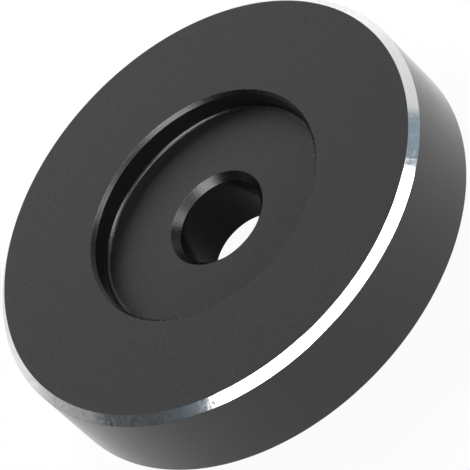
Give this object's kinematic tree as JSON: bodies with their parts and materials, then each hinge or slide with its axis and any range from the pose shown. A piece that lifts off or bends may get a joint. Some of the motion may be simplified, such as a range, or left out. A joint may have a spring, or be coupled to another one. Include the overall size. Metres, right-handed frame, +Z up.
{
  "type": "record spindle adapter",
  "caption": "Round turned aluminium disc with a bright bevelled rim, a shallow finger recess and a countersunk spindle bore, which centres a large-hole record on a turntable.",
  "frame": {"origin": "centre of the base, on the axis of the spindle bore", "axes": "+Z up along the bore, from the base to the recessed top face; the disc is round, so X and Y lie anywhere in the base"},
  "size_m": [0.038, 0.038, 0.0076],
  "materials": {
    "anodised_black": "fine blasted and black anodised, with the bevel round the top cut bright"
  },
  "bodies": {
    "root": {"adapter_disc": "anodised_black"}
  },
  "joints": []
}
